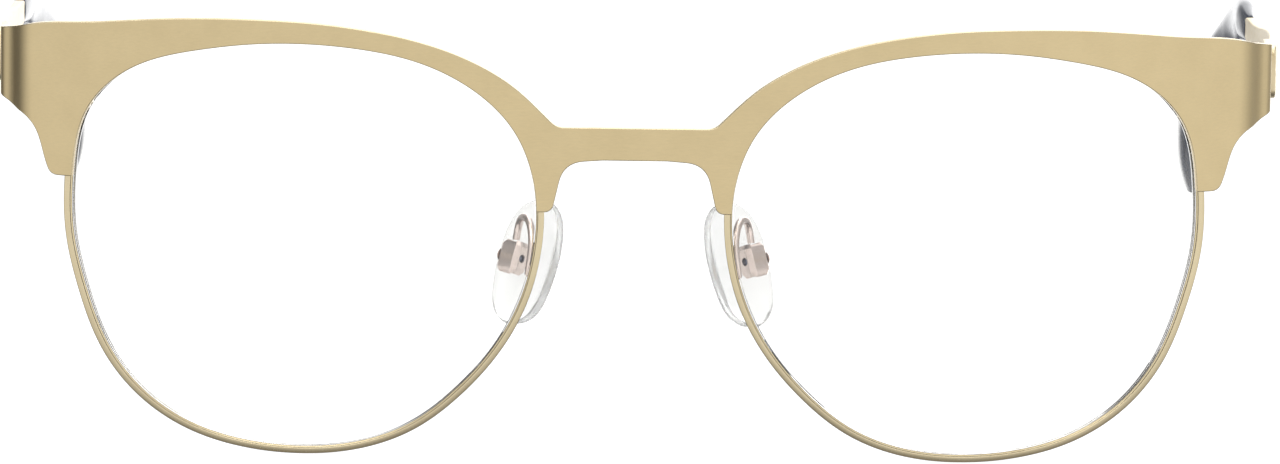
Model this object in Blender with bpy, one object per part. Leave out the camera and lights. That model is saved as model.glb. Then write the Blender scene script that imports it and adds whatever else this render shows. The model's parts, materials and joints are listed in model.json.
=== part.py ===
"""Eyeglasses frame: a bent sheet-metal browline front on full eyewires, with nose pads and folding temples.

Metres, +Z up. The frame stands open on a table: the lower rims and the ends of the temple tips touch z = 0.
The front faces -Y, the temples run back along +Y, and +X is the wearer's left.
The sizes below are in millimetres and describe the left half, with y counted from the front face. Right pieces
are the mirror images of left ones.
"""

import math

import bmesh
import bpy
import numpy as np
from mathutils import Vector

MM = 0.001
FRONT_Y = -72.665  # the front face, so that the origin is under the middle of the open frame

# ---- Driving dimensions ----

SHEET = 0.8  # thickness of the browline sheet
SOLDER = 0.05  # gap left where two pieces are soldered or pressed together

# The lens opening of the eyewire, seen from the front: a smooth closed curve through (x, z).
LENS_OPENING = [
    (61.5, 24.3), (61.55, 31.2), (59.95, 38.25), (54.7, 43.35), (48.1, 45.5), (41.8, 46.5),
    (35.9, 46.75), (30.0, 46.35), (23.95, 45.1), (18.1, 42.3), (13.3, 37.6), (10.95, 31.15),
    (10.95, 24.3), (12.55, 18.05), (15.55, 12.5), (19.5, 7.85), (24.2, 4.05), (29.9, 1.7),
    (35.9, 0.895), (42.0, 1.25), (48.2, 2.95), (53.7, 6.5), (57.7, 11.7), (60.05, 17.85),
]
WIRE_WIDTH = 0.88
WIRE_DEPTH = 1.9
GROOVE_WIDTH = 1.0
GROOVE_DEPTH = 0.42
LENS_THICKNESS = 1.6
LENS_CLEARANCE = 0.04
SPLIT_HEIGHT = 34.5  # the eyewire is cut here, behind the temporal leg, so that the lens can go in
SPLIT_GAP = 0.12
BLOCK_X = 63.5
BLOCK_HALF_WIDTH = 0.9
BLOCK_HALF_DEPTH = 0.85
BLOCK_HEIGHT = 1.95
RIM_SCREW_RADIUS = 0.5

# Plan of the browline sheet's front face: a flat bridge, a long base curve, then the S-bend of the endpiece.
FLAT_HALF = 20.0
BASE_RADIUS = 150.0
BEND_START = 66.0
BEND_RADIUS = 3.2
BACK_HEADING = 60.0  # steepest heading of the S-bend, in degrees from the front plane
BACK_LENGTH = 0.45
FLARE_RADIUS = 2.4
FLARE_HEADING = 30.0
FLARE_LENGTH = 0.3
SIDE_RADIUS = 1.1
SIDE_LENGTH = 4.1
RIM_CURVE_FROM = 30.0  # below this height the rims curve back as the lens does

# Outline of the browline sheet, seen from the front, as (x, z).
BRIDGE_TOP = 38.15
BRIDGE_UNDERSIDE = 34.45
BROW_TOP = [
    (8.65, 38.15), (10.5, 40.0), (12.7, 42.05), (17.0, 44.85), (21.4, 46.7), (25.8, 47.9), (30.5, 48.7),
    (36.0, 49.2), (42.0, 49.3), (48.0, 49.15), (54.2, 48.65), (60.8, 47.95), (66.0, 47.4), (68.9, 46.45),
]
REAR_EDGE_TOP = 46.1
REAR_EDGE_LOW = 38.9
LEG_OUTER = [
    (69.2, 38.4), (68.2, 37.75), (67.0, 37.1), (66.0, 36.1), (65.2, 34.3), (64.65, 32.3), (64.05, 30.62),
]
CORNER_REACHES = [0.8, 1.0, 1.2, 0.9, 0.1, 0.1, 0.9, 2.2]  # how far each corner of the outline is rounded off
NASAL_CORNER_LOW = (9.0, 28.65)
NASAL_CORNER_HIGH = (7.75, 34.3)

# Hinges. Places are measured from the hinge axis: outwards, and back along the open temple.
TEMPLE_DROP = math.radians(8.4)  # the open temple slopes down this much towards the ear
HINGE_CENTRE = Vector((66.95, 13.55, 42.5))
KNUCKLE_RADIUS = 1.1
HINGE_BORE = 0.6
HINGE_SCREW_RADIUS = 0.54
KNUCKLE_TOP = 2.75
KNUCKLE_JOINT = 1.02
FRONT_LEAF_HALF_HEIGHT = 2.9
FRONT_LEAF_OUT = (1.22, 1.9)
FRONT_LEAF_BACK = (-1.6, 0.3)
TEMPLE_LEAF_OUT = (1.5, 2.3)
TEMPLE_LEAF_BACK = (1.25, 9.5)
TEMPLE_LEAF_HALF_HEIGHT = 1.5

# Temples: bar sizes as (distance along the temple, thickness, height).
BAR_SIZES = [
    (0.0, 1.1, 4.2), (0.25, 1.1, 5.2), (0.8, 1.1, 5.8), (1.8, 1.1, 6.0), (12.0, 1.1, 5.6), (28.0, 1.1, 4.6),
    (48.0, 1.1, 3.7), (70.0, 1.1, 2.8), (72.5, 1.0, 2.0), (75.0, 0.9, 1.7), (130.0, 0.9, 1.6),
]
BAR_PATH = [(2.9, 1.25), (3.7, 12.0), (4.9, 30.0), (5.4, 50.0), (4.9, 66.0)]  # outwards, and back
TIP_PATH = [
    (71.4, 89.0, 32.3), (71.5, 97.0, 31.2), (71.0, 105.0, 27.9), (69.4, 113.0, 22.9),
    (67.5, 121.5, 16.7), (67.1, 130.0, 10.8), (67.8, 138.0, 5.8), (68.8, 144.8, 2.23),
]
TIP_START = 71.0
TIP_SIZES = [
    (0.0, 1.5, 3.2), (1.5, 1.9, 3.7), (6.0, 2.4, 4.5), (20.0, 3.0, 5.4), (34.0, 2.9, 6.2), (78.0, 2.8, 6.6),
]
TIP_ROUNDING = 1.8
CORE_SHORT_OF_END = 9.0

# Nose pads.
PAD_CENTRE = Vector((11.5, 9.5, 20.95))
PAD_SPLAY = math.radians(50)  # the pads open towards the face
PAD_SLOPE = math.radians(22)  # the pads are wider apart at the bottom
PAD_OUTLINE = [
    (0.0, 7.1), (2.6, 6.0), (3.9, 3.0), (4.1, 0.0), (3.8, -3.2), (2.7, -6.0),
    (0.0, -7.1), (-2.7, -6.0), (-3.8, -3.2), (-4.1, 0.0), (-3.9, 3.0), (-2.6, 6.0),
]
PAD_LAYERS = [(0.78, -0.95), (0.95, -0.65), (1.0, -0.1), (0.93, 0.45), (0.72, 0.8), (0.38, 0.95)]
PAD_SCREW_AT = -3.0  # along the pad's normal, from the middle of the pad
PAD_SCREW_RADIUS = 0.4
SCREW_CLEARANCE = 0.05
PAD_BOX_HALF_WIDTH = 1.4
PAD_BOX_HALF_HEIGHT = 1.8
PAD_BOX_FRONT = 1.4  # the box's faces and the floor of its slot, along the pad's normal from the screw
PAD_BOX_FLOOR = -0.8
PAD_BOX_REAR = -1.05
LUG_THICKNESS = 1.1
LUG_RADIUS = 0.72
ARM_PATH = [
    (11.5, 3.64, 21.0), (11.3, 3.6, 22.6), (11.15, 4.2, 24.9), (11.6, 5.7, 26.65), (12.25, 7.3, 26.5),
    (12.65, 8.25, 25.3), (12.9, 8.12, 23.8),
]
ARM_HALF_WIDTHS = (0.42, 0.42)
CORE_HALF_WIDTH = 1.5
CORE_HALF_HEIGHT = 3.1
CORE_REAR = -0.3
CORE_FRONT = 0.1
STEM_HALF_HEIGHT = 0.9

SMOOTH_ANGLE = math.radians(35)


# ---- Curves ----


def lengths_along(line):
    return np.concatenate([[0], np.cumsum(np.linalg.norm(np.diff(line, axis=0), axis=1))])


def at_lengths(line, wanted):
    along = lengths_along(line)
    return np.stack([np.interp(wanted, along, values) for values in line.T], axis=1)


def smooth_through(points, closed=False):
    """A dense polyline along the cubic spline through the points."""
    knots = np.array(points, float)
    if closed:
        knots = np.vstack([knots, knots[:1]])
    gaps = np.linalg.norm(np.diff(knots, axis=0), axis=1)
    slopes = np.diff(knots, axis=0) / gaps[:, None]
    system = np.eye(len(knots))
    wanted = np.zeros_like(knots)
    for i in range(1, len(knots) - 1):
        system[i, i - 1 : i + 2] = gaps[i - 1], 2 * (gaps[i - 1] + gaps[i]), gaps[i]
        wanted[i] = 6 * (slopes[i] - slopes[i - 1])
    if closed:
        system[0, -1] = -1
        system[-1] = 0
        system[-1, [0, 1, -2, -1]] = 2 * gaps[0], gaps[0], gaps[-1], 2 * gaps[-1]
        wanted[-1] = 6 * (slopes[0] - slopes[-1])
    bend = np.linalg.solve(system, wanted)
    line = []
    for i, gap in enumerate(gaps):
        for part in np.linspace(0, 1, 24, endpoint=False):
            rest = 1 - part
            cubic = ((rest**3 - rest) * bend[i] + (part**3 - part) * bend[i + 1]) * gap**2 / 6
            line.append(rest * knots[i] + part * knots[i + 1] + cubic)
    return np.array([*line, knots[-1]])


def evenly(line, count):
    return at_lengths(line, np.linspace(0, lengths_along(line)[-1], count))


def trimmed(line, from_start, from_end):
    """The polyline without its first and its last stretch."""
    along = lengths_along(line)
    last = along[-1] - from_end
    inside = along[(along > from_start + 1e-6) & (along < last - 1e-6)]
    return at_lengths(line, [from_start, *inside, last])


def rounded_chain(runs, reaches, steps=4):
    """One polyline from runs that meet end to end. The corner after each run is rounded off over its reach."""
    chain = []
    for run, before, after in zip(runs, [0.0, *reaches], [*reaches, 0.0]):
        piece = trimmed(np.array(run, float), before, after)
        if before:
            start, corner = chain[-1], np.array(run[0], float)
            for part in np.arange(1, steps) / steps:
                rest = 1 - part
                chain.append(rest**2 * start + 2 * rest * part * corner + part**2 * piece[0])
            chain += list(piece)
        else:
            chain += list(piece[1:] if chain else piece)
    return np.array(chain)


def arc(radius, start, end, count):
    """(outwards, back) points of a circle about the origin, between two angles in degrees."""
    return [(radius * math.cos(a), radius * math.sin(a)) for a in np.radians(np.linspace(start, end, count))]


def outward_normals(loop):
    """Unit normals of a closed counter-clockwise (x, z) loop."""
    along = np.roll(loop, -1, axis=0) - np.roll(loop, 1, axis=0)
    normals = np.stack([along[:, 1], -along[:, 0]], axis=1)
    return normals / np.linalg.norm(normals, axis=1)[:, None]


def grown(loop, distance):
    return loop + distance * outward_normals(loop)


def opening_loop(count):
    """The lens opening as evenly spaced points, counter-clockwise from its temporal side."""
    return evenly(smooth_through(LENS_OPENING, closed=True), count + 1)[:-1]


def height_crossing(loop, i, height):
    """The point at the given height between loop points i and i + 1."""
    low, high = loop[i], loop[(i + 1) % len(loop)]
    return low + (high - low) * (height - low[1]) / (high[1] - low[1])


# ---- The curved front ----


def front_plan():
    """Plan polyline of the sheet's front face, from the middle to the endpiece's rear edge, as (x, y)."""
    base_heading = math.degrees(math.asin((BEND_START - FLAT_HALF) / BASE_RADIUS))
    line = [(0.0, 0.0), (FLAT_HALF, 0.0)]
    heading = 0.0
    for radius, goal, steps, straight in (
        (BASE_RADIUS, base_heading, 10, 0.0),
        (BEND_RADIUS, BACK_HEADING, 5, BACK_LENGTH),
        (FLARE_RADIUS, FLARE_HEADING, 3, FLARE_LENGTH),
        (SIDE_RADIUS, 90.0, 4, SIDE_LENGTH),
    ):
        turn = math.radians(goal - heading) / steps
        chord = 2 * radius * math.sin(abs(turn) / 2)
        moves = [(chord, math.radians(heading) + turn * (i + 0.5)) for i in range(steps)]
        if straight:
            moves.append((straight, math.radians(goal)))
        for length, direction in moves:
            x, y = line[-1]
            line.append((x + length * math.cos(direction), y + length * math.sin(direction)))
        heading = goal
    return np.array(line)


def behind(line, depth):
    """The plan polyline moved to its rear side by `depth`, with mitred corners."""
    along = np.diff(line, axis=0)
    along /= np.linalg.norm(along, axis=1)[:, None]
    normals = np.stack([-along[:, 1], along[:, 0]], axis=1)
    before = np.vstack([normals[:1], normals])
    after = np.vstack([normals, normals[-1:]])
    mitre = (before + after) / (1 + np.sum(before * after, axis=1))[:, None]
    return line + depth * mitre


def base_depth(x, z):
    """How far the front face lies behind the bridge, on the base curve."""
    across = max(abs(x) - FLAT_HALF, 0.0)
    down = max(RIM_CURVE_FROM - z, 0.0)
    return 2 * BASE_RADIUS - math.sqrt(BASE_RADIUS**2 - across**2) - math.sqrt(BASE_RADIUS**2 - down**2)


# ---- Solids ----


def material(name, color, metallic, roughness, alpha=1.0, transmission=0.0):
    made = bpy.data.materials.new(name)
    made.use_nodes = True
    shader = made.node_tree.nodes["Principled BSDF"]
    shader.inputs["Base Color"].default_value = (*color, 1.0)
    shader.inputs["Metallic"].default_value = metallic
    shader.inputs["Roughness"].default_value = roughness
    shader.inputs["Alpha"].default_value = alpha
    shader.inputs["Transmission Weight"].default_value = transmission
    return made


def lofted(rings):
    """A closed solid through rings that have the same number of points."""
    bm = bmesh.new()
    rows = [[bm.verts.new(point) for point in ring] for ring in rings]
    for row, following in zip(rows, rows[1:]):
        for i in range(len(row)):
            bm.faces.new((row[i - 1], row[i], following[i], following[i - 1]))
    bm.faces.new(rows[0])
    bm.faces.new(rows[-1])
    return bm


def prism(polygon, start, end, place):
    """A polygon of (u, v) points pushed from `start` to `end`, placed by place(u, v, w)."""
    return lofted([[place(u, v, w) for u, v in polygon] for w in (start, end)])


def turned(profile, base, axis, sides=16):
    """A turned solid: (radius, height) pairs along `axis` from `base`."""
    axis = Vector(axis).normalized()
    across = axis.orthogonal().normalized()
    other = axis.cross(across)
    circle = [(math.cos(a), math.sin(a)) for a in np.linspace(0, 2 * math.pi, sides, endpoint=False)]
    base = Vector(base)
    return lofted([[base + axis * h + (across * c + other * s) * r for c, s in circle] for r, h in profile])


def swept(path, sections):
    """A solid along a path. Each section is a list of (outwards, up) points at its path point."""
    rings = []
    along = np.gradient(np.array(path), axis=0)
    for point, direction, section in zip(path, along, sections):
        direction = Vector(direction).normalized()
        out = (Vector((1, 0, 0)) - direction * direction.x).normalized()
        up = out.cross(direction)
        rings.append([Vector(point) + out * u + up * v for u, v in section])
    return lofted(rings)


def in_place(point, side):
    """A point of the left half, in metres from the origin, on the side it belongs to."""
    return Vector((side * point.x, point.y + FRONT_Y, point.z)) * MM


def add(name, bm, look, side, pivot=None):
    """Adds a solid as an object. `side` is 1 for the left half and -1 for its mirror image on the right."""
    origin = pivot.location if pivot else Vector((0, 0, 0))
    for vert in bm.verts:
        vert.co = in_place(vert.co, side) - origin
    bmesh.ops.recalc_face_normals(bm, faces=bm.faces)
    mesh = bpy.data.meshes.new(name)
    bm.to_mesh(mesh)
    bm.free()
    mesh.shade_smooth()
    mesh.set_sharp_from_angle(angle=SMOOTH_ANGLE)
    mesh.materials.append(look)
    made = bpy.data.objects.new(name, mesh)
    bpy.context.scene.collection.objects.link(made)
    made.parent = pivot
    return made


def shape(target, tools, operation, side, pivot=None):
    """Joins helper solids to the target, or cuts them from it."""
    for i, bm in enumerate(tools):
        helper = add(f"{target.name}_{operation.lower()}_{i}", bm, target.data.materials[0], side, pivot)
        helper.hide_render = True
        helper.display_type = "WIRE"
        modifier = target.modifiers.new(f"{operation.lower()} {i}", "BOOLEAN")
        modifier.operation = operation
        modifier.object = helper
        modifier.solver = "EXACT"


def pivot_at(name, point, side):
    empty = bpy.data.objects.new(name, None)
    empty.location = in_place(point, side)
    bpy.context.scene.collection.objects.link(empty)
    return empty


# ---- The browline sheet ----


def sheet_outline(along_at):
    """Half the sheet's outline as (distance along the sheet, z), from the middle of its top edge and back."""

    def unrolled(points):
        return [(along_at(x), z) for x, z in points]

    rear = along_at(None)

    def rear_edge(z):
        return rear + (z - REAR_EDGE_TOP) * math.tan(TEMPLE_DROP), z

    loop = grown(opening_loop(96), SOLDER)
    first = max(i for i in range(24) if loop[i][1] < LEG_OUTER[-1][1])
    last = max(i for i in range(24, 60) if loop[i][1] > NASAL_CORNER_LOW[1])
    start = height_crossing(loop, first, LEG_OUTER[-1][1])
    end = height_crossing(loop, last, NASAL_CORNER_LOW[1])
    lens_edge = [start, *loop[first + 1 : last + 1], end]
    corners = [end, NASAL_CORNER_LOW, NASAL_CORNER_HIGH]
    underside = [NASAL_CORNER_HIGH, (3.5, BRIDGE_UNDERSIDE), (0.0, BRIDGE_UNDERSIDE)]
    runs = [
        [(0.0, BRIDGE_TOP), BROW_TOP[0]],
        evenly(smooth_through([*unrolled(BROW_TOP), rear_edge(REAR_EDGE_TOP)]), 44),
        [rear_edge(REAR_EDGE_TOP), rear_edge(REAR_EDGE_LOW)],
        evenly(smooth_through([rear_edge(REAR_EDGE_LOW), *unrolled(LEG_OUTER)]), 24),
        unrolled([LEG_OUTER[-1], start]),
        unrolled(lens_edge),
        unrolled(corners[0:2]),
        corners[1:3],
        underside,
    ]
    return rounded_chain(runs, CORNER_REACHES)


def brow_plate(look):
    front = front_plan()
    back = behind(front, SHEET)
    along = lengths_along(front)

    def along_at(x):
        return along[-1] if x is None else float(np.interp(x, front[:, 0], along))

    half = sheet_outline(along_at)
    mirrored = half[1:-1][::-1] * (-1, 1)
    bm = bmesh.new()
    bm.faces.new([bm.verts.new((s, 0, z)) for s, z in [*half, *mirrored]])
    for cut in [*-along[1:-1], *along[1:-1]]:
        everything = bm.verts[:] + bm.edges[:] + bm.faces[:]
        bmesh.ops.bisect_plane(bm, geom=everything, dist=1e-4, plane_co=(cut, 0, 0), plane_no=(1, 0, 0))
    pushed = bmesh.ops.extrude_face_region(bm, geom=bm.faces[:])["geom"]
    rear = {item for item in pushed if isinstance(item, bmesh.types.BMVert)}
    for vert in bm.verts:
        line = back if vert in rear else front
        x, y = (float(np.interp(abs(vert.co.x), along, values)) for values in line.T)
        vert.co = (math.copysign(x, vert.co.x), y, vert.co.z)
    add("brow_plate", bm, look, 1)


# ---- Eyewires and lenses ----


def rim_point(x, z, depth):
    """A point behind the sheet, `depth` back from the eyewire's front."""
    lean = math.asin(max(abs(x) - FLAT_HALF, 0.0) / BASE_RADIUS)
    return Vector((x - depth * math.sin(lean), base_depth(x, z) + SHEET + SOLDER + depth * math.cos(lean), z))


def eyewire(name, look, side):
    loop = opening_loop(84)
    first = min(i for i in range(len(loop)) if loop[i][1] > SPLIT_HEIGHT)
    upper_end = height_crossing(loop, first - 1, SPLIT_HEIGHT + SPLIT_GAP / 2)
    lower_end = height_crossing(loop, first - 1, SPLIT_HEIGHT - SPLIT_GAP / 2)
    normals = outward_normals(loop)
    path = [upper_end, *np.roll(loop, -first, axis=0), lower_end]
    ways = [normals[first], *np.roll(normals, -first, axis=0), normals[first]]
    groove_front = (WIRE_DEPTH - GROOVE_WIDTH) / 2
    section = [
        (0, 0), (WIRE_WIDTH, 0), (WIRE_WIDTH, WIRE_DEPTH), (0, WIRE_DEPTH),
        (0, WIRE_DEPTH - groove_front), (GROOVE_DEPTH, WIRE_DEPTH / 2), (0, groove_front),
    ]
    rings = [
        [rim_point(x + u * way[0], z + u * way[1], v) for u, v in section]
        for (x, z), way in zip(path, ways)
    ]
    add(name, lofted(rings), look, side)


def lens(name, look, side):
    loop = opening_loop(56)
    normals = outward_normals(loop)
    middle = loop.mean(axis=0)
    edge = -LENS_CLEARANCE
    half = LENS_THICKNESS / 2
    bevel = GROOVE_WIDTH / 2 - 2 * LENS_CLEARANCE

    def ring(scale, out, depth):
        points = middle + (loop - middle) * scale + normals * out
        return [rim_point(x, z, WIRE_DEPTH / 2 + depth) for x, z in points]

    rings = [
        ring(0.3, 0, -half), ring(0.65, 0, -half), ring(1, edge, -half), ring(1, edge, -bevel),
        ring(1, GROOVE_DEPTH - 2 * LENS_CLEARANCE, 0),
        ring(1, edge, bevel), ring(1, edge, half), ring(0.65, 0, half), ring(0.3, 0, half),
    ]
    add(name, lofted(rings), look, side)


def rectangle(half_u, half_v):
    return [(-half_u, -half_v), (half_u, -half_v), (half_u, half_v), (-half_u, half_v)]


def closing_blocks(side, word, gold, steel):
    """The two small blocks and the screw that pull the split eyewire shut round its lens."""
    heading = math.asin((BLOCK_X - FLAT_HALF) / BASE_RADIUS)
    middle = rim_point(BLOCK_X, SPLIT_HEIGHT, WIRE_DEPTH / 2 + 0.1)
    across = Vector((math.cos(heading), math.sin(heading), 0))
    back = Vector((-math.sin(heading), math.cos(heading), 0))

    def place(u, v, w):
        return middle + across * u + back * v + Vector((0, 0, w))

    outline = rectangle(BLOCK_HALF_WIDTH, BLOCK_HALF_DEPTH)
    bore = RIM_SCREW_RADIUS + SCREW_CLEARANCE
    for level, low in (("upper", SPLIT_GAP / 2), ("lower", -SPLIT_GAP / 2 - BLOCK_HEIGHT)):
        block = add(f"closing_block_{level}_{word}", prism(outline, low, low + BLOCK_HEIGHT, place), gold, side)
        cutter = turned([(bore, -3), (bore, 3)], middle, (0, 0, 1), sides=12)
        shape(block, [cutter], "DIFFERENCE", side)
    head = -BLOCK_HEIGHT - SPLIT_GAP / 2 - SOLDER
    screw = screw_profile(RIM_SCREW_RADIUS, head, BLOCK_HEIGHT - 0.3)
    add(f"rim_screw_{word}", turned(screw, middle, (0, 0, 1), sides=12), steel, side)


def screw_profile(radius, head, end, height=0.45):
    """A small pan-head screw, from its head down to its end."""
    return [(0.6, head - height), (0.8, head - 0.7 * height), (0.8, head), (radius, head), (radius, end)]


# ---- Nose pads ----

PAD_BACK = Vector((math.sin(PAD_SPLAY), math.cos(PAD_SPLAY), 0))
PAD_LEVEL = Vector((-math.cos(PAD_SPLAY), math.sin(PAD_SPLAY), 0))
PAD_NORMAL = PAD_LEVEL * math.cos(PAD_SLOPE) - Vector((0, 0, math.sin(PAD_SLOPE)))
PAD_UP = PAD_LEVEL * math.sin(PAD_SLOPE) + Vector((0, 0, math.cos(PAD_SLOPE)))
PAD_SCREW_CENTRE = PAD_CENTRE + PAD_NORMAL * PAD_SCREW_AT


def in_pad(back, up, normal):
    return PAD_CENTRE + PAD_BACK * back + PAD_UP * up + PAD_NORMAL * normal


def core_solids(clearance, lug_end):
    """The pad's hard core: a plate inside the silicone, and the stem that leaves it."""
    plate_outline = rectangle(CORE_HALF_WIDTH + clearance, CORE_HALF_HEIGHT + clearance)
    stem_outline = rectangle(LUG_THICKNESS / 2 + clearance, STEM_HALF_HEIGHT + clearance)
    plate = prism(plate_outline, CORE_REAR - clearance, CORE_FRONT + clearance, in_pad)
    stem = prism(stem_outline, lug_end, 0.5 * (CORE_REAR + CORE_FRONT), in_pad)
    return plate, stem


def pad_screw_bore():
    radius = PAD_SCREW_RADIUS + SCREW_CLEARANCE
    return turned([(radius, -3), (radius, 3)], PAD_SCREW_CENTRE, PAD_BACK, sides=12)


def nose_pad(side, word, silicone, plastic):
    pivot = pivot_at(f"pad_pivot_{word}", PAD_SCREW_CENTRE, side)
    outline = evenly(smooth_through(PAD_OUTLINE, closed=True), 33)[:-1]
    pad_rings = [[in_pad(b * scale, u * scale, n) for b, u in outline] for scale, n in PAD_LAYERS]
    pad = add(f"nose_pad_{word}", lofted(pad_rings), silicone, side, pivot)
    shape(pad, core_solids(0.04, -2.0), "DIFFERENCE", side, pivot)

    plate, stem = core_solids(0.0, PAD_SCREW_AT + 0.2)
    insert = add(f"pad_insert_{word}", plate, plastic, side, pivot)
    half = LUG_THICKNESS / 2
    eye = turned([(LUG_RADIUS, -half), (LUG_RADIUS, half)], PAD_SCREW_CENTRE, PAD_BACK)
    shape(insert, [stem, eye], "UNION", side, pivot)
    shape(insert, [pad_screw_bore()], "DIFFERENCE", side, pivot)


def pad_mount(side, word, metal, steel):
    """The slotted box that holds the pad's stem, its screw, and the arm that is soldered to the eyewire."""
    half = PAD_BOX_HALF_WIDTH
    tall = PAD_BOX_HALF_HEIGHT
    slot = LUG_THICKNESS / 2 + 0.08
    front, floor, rear = (PAD_SCREW_AT + face for face in (PAD_BOX_FRONT, PAD_BOX_FLOOR, PAD_BOX_REAR))
    channel = [
        (-half, rear), (half, rear), (half, front), (slot, front),
        (slot, floor), (-slot, floor), (-slot, front), (-half, front),
    ]
    block = prism(channel, -tall, tall, lambda back, normal, up: in_pad(back, up, normal))
    box = add(f"pad_box_{word}", block, metal, side)
    shape(box, [pad_screw_bore()], "DIFFERENCE", side)
    screw = screw_profile(PAD_SCREW_RADIUS, -half - SOLDER, half - 0.25, height=0.2)
    add(f"pad_screw_{word}", turned(screw, PAD_SCREW_CENTRE, -PAD_BACK, sides=12), steel, side)

    path = [Vector(point) for point in evenly(smooth_through(ARM_PATH), 19)]
    rings = []
    across = Vector((1, 0, 0))
    for before, point, after in zip([path[0], *path], path, [*path[1:], path[-1]]):
        along = (after - before).normalized()
        across = (across - along * across.dot(along)).normalized()
        other = along.cross(across)
        wide, thin = ARM_HALF_WIDTHS
        rings.append([point + across * c * wide + other * s * thin for c, s in arc(1, 0, 315, 8)])
    add(f"pad_arm_{word}", lofted(rings), metal, side)


# ---- Hinges and temples ----

HINGE_BACK = Vector((0, math.cos(TEMPLE_DROP), -math.sin(TEMPLE_DROP)))
HINGE_UP = Vector((0, math.sin(TEMPLE_DROP), math.cos(TEMPLE_DROP)))


def at_hinge(out, back, up):
    """A point measured outwards from the hinge axis, back along the open temple, and up along the axis."""
    return HINGE_CENTRE + Vector((out, 0, 0)) + HINGE_BACK * back + HINGE_UP * up


def leaf_outline(out, back):
    return [(out[0], back[0]), (out[1], back[0]), (out[1], back[1]), (out[0], back[1])]


def hinge_bore():
    return turned([(HINGE_BORE, -5), (HINGE_BORE, 5)], HINGE_CENTRE, HINGE_UP)


def front_hinge(side, word, gold, steel):
    half = FRONT_LEAF_HALF_HEIGHT
    leaf = prism(leaf_outline(FRONT_LEAF_OUT, FRONT_LEAF_BACK), -half, half, at_hinge)
    made = add(f"front_hinge_{word}", leaf, gold, side)
    inside = 0.5 * sum(FRONT_LEAF_OUT)
    knuckle = [*arc(KNUCKLE_RADIUS, 13, 270, 14), (inside, -KNUCKLE_RADIUS), (inside, 0.25)]
    levels = ((-KNUCKLE_TOP, -KNUCKLE_JOINT), (KNUCKLE_JOINT, KNUCKLE_TOP))
    shape(made, [prism(knuckle, low, high, at_hinge) for low, high in levels], "UNION", side)
    shape(made, [hinge_bore()], "DIFFERENCE", side)
    radius, top = HINGE_SCREW_RADIUS, KNUCKLE_TOP + SOLDER
    profile = [(radius, -KNUCKLE_TOP), (radius, top), (0.9, top), (0.9, top + 0.35), (0.7, top + 0.5)]
    add(f"hinge_screw_{word}", turned(profile, HINGE_CENTRE, HINGE_UP), steel, side)


def temple_hinge(side, word, gold, pivot):
    half = TEMPLE_LEAF_HALF_HEIGHT
    leaf = prism(leaf_outline(TEMPLE_LEAF_OUT, TEMPLE_LEAF_BACK), -half, half, at_hinge)
    made = add(f"temple_hinge_{word}", leaf, gold, side, pivot)
    inside = 0.5 * sum(TEMPLE_LEAF_OUT)
    knuckle = [*arc(KNUCKLE_RADIUS, 110, 400, 16), (1.6, 1.15), (inside, 1.3), (inside, 2.9)]
    top = KNUCKLE_JOINT - 0.05
    shape(made, [prism(knuckle, -top, top, at_hinge)], "UNION", side, pivot)
    shape(made, [hinge_bore()], "DIFFERENCE", side, pivot)


def temple_path():
    straight = [tuple(at_hinge(out, back, 0)) for out, back in BAR_PATH]
    return smooth_through([*straight, *TIP_PATH])


def sizes_at(sizes, distance):
    distances, thicknesses, heights = zip(*sizes)
    return np.interp(distance, distances, thicknesses), np.interp(distance, distances, heights)


def bar_section(distance, clearance=0.0):
    """A flat bar's section with broken edges."""
    thickness, height = sizes_at(BAR_SIZES, distance)
    u, v, edge = thickness / 2 + clearance, height / 2 + clearance, 0.2
    return [
        (-u, -v + edge), (-u + edge, -v), (u - edge, -v), (u, -v + edge),
        (u, v - edge), (u - edge, v), (-u + edge, v), (-u, v - edge),
    ]


def tip_section(distance, length):
    """A rounded section, drawn in over the last stretch."""
    thickness, height = sizes_at(TIP_SIZES, distance)
    left = min(length - distance, TIP_ROUNDING) / TIP_ROUNDING
    scale = max(math.sqrt(1 - (1 - left) ** 2), 0.3)
    section = []
    for c, s in arc(1, 0, 330, 12):
        u, v = (math.copysign(abs(value) ** 0.8, value) for value in (c, s))
        section.append((u * thickness / 2 * scale, v * height / 2 * scale))
    return section


def temple(side, word, gold, acetate):
    pivot = pivot_at(f"temple_pivot_{word}", HINGE_CENTRE, side)
    temple_hinge(side, word, gold, pivot)
    path = temple_path()
    length = lengths_along(path)[-1]
    core_end = length - CORE_SHORT_OF_END
    stations = [0, 0.25, 0.8, 1.8, 6, 12, 20, 28, 38, 48, 60, 70, 72.5, 75, *np.linspace(79, core_end, 13)]
    bar = swept(at_lengths(path, stations), [bar_section(d) for d in stations])
    add(f"temple_bar_{word}", bar, gold, side, pivot)

    tip_length = length - TIP_START
    ends = [tip_length - r for r in (3.0, 2.2, 1.4, 0.8, 0.3, 0.0)]
    places = [0, 1.2, *np.linspace(5, tip_length - 5, 14), *ends]
    tip = swept(at_lengths(path, TIP_START + np.array(places)), [tip_section(d, tip_length) for d in places])
    made = add(f"temple_tip_{word}", tip, acetate, side, pivot)
    channel = [TIP_START - 1, 72.5, 75, *np.linspace(79, core_end, 13)[:-1], core_end + 0.3]
    core = swept(at_lengths(path, channel), [bar_section(d, clearance=0.05) for d in channel])
    shape(made, [core], "DIFFERENCE", side, pivot)


# ---- Assembly ----


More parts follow.
